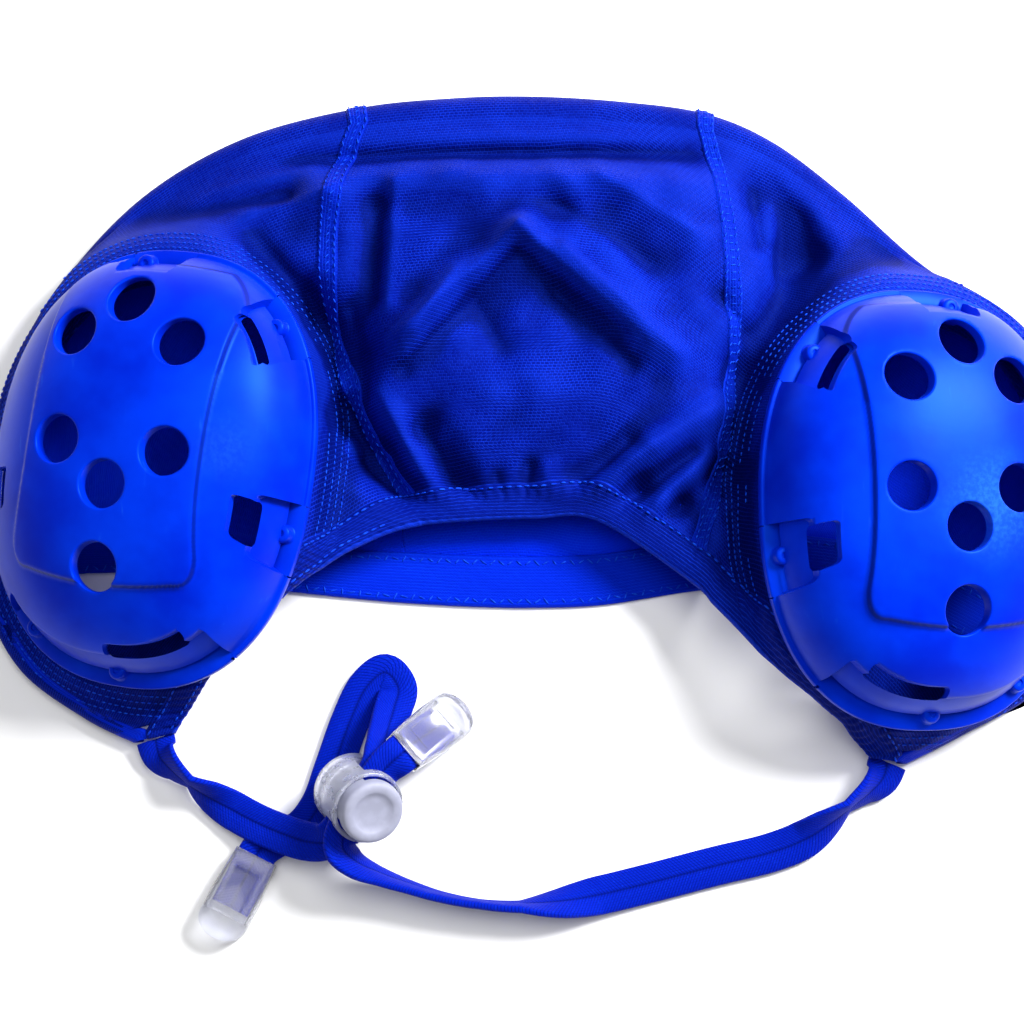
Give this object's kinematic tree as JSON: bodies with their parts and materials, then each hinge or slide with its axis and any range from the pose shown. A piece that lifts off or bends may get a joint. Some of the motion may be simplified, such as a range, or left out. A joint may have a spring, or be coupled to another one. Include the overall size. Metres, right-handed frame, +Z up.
{
  "type": "water polo cap",
  "caption": "Cloth water polo cap lying flat, with hard vented ear guards and a chin tape with a push-button cord lock.",
  "frame": {"origin": "on the floor under the middle of the cap as it lies flat, chin tape left out", "axes": "+X from one ear guard to the other, +Y towards the crown, +Z up through the front panel"},
  "size_m": [0.275, 0.2121, 0.0506],
  "materials": {
    "cloth": "fine ribbed swim knit, royal blue, soft sheen",
    "hem_cloth": "turned hem with cover stitching, royal blue",
    "guard_plastic": "moulded, bright blue, glossy with soft scuffs",
    "tape_cloth": "flat knitted tape with a groove along its middle",
    "clear_plastic": "frosted clear plastic"
  },
  "bodies": {
    "cap": {"centre_panel": "cloth", "side_panel_left": "cloth", "side_panel_right": "cloth", "front_hem": "hem_cloth", "back_hem": "hem_cloth", "guard_left": "guard_plastic", "guard_right": "guard_plastic", "tape_left": "tape_cloth", "tape_right": "tape_cloth", "lock_body": "clear_plastic", "cord_end_a": "clear_plastic", "cord_end_b": "clear_plastic"},
    "button": {"lock_button": "clear_plastic"}
  },
  "joints": [
    {"name": "lock_press", "type": "slide", "parent": "cap", "child": "button", "axis": [0.4021, -0.4071, 0.8201], "range_m": [-0.003, 0], "stiffness_N_per_m": 300, "springref_m": 0.002}
  ]
}
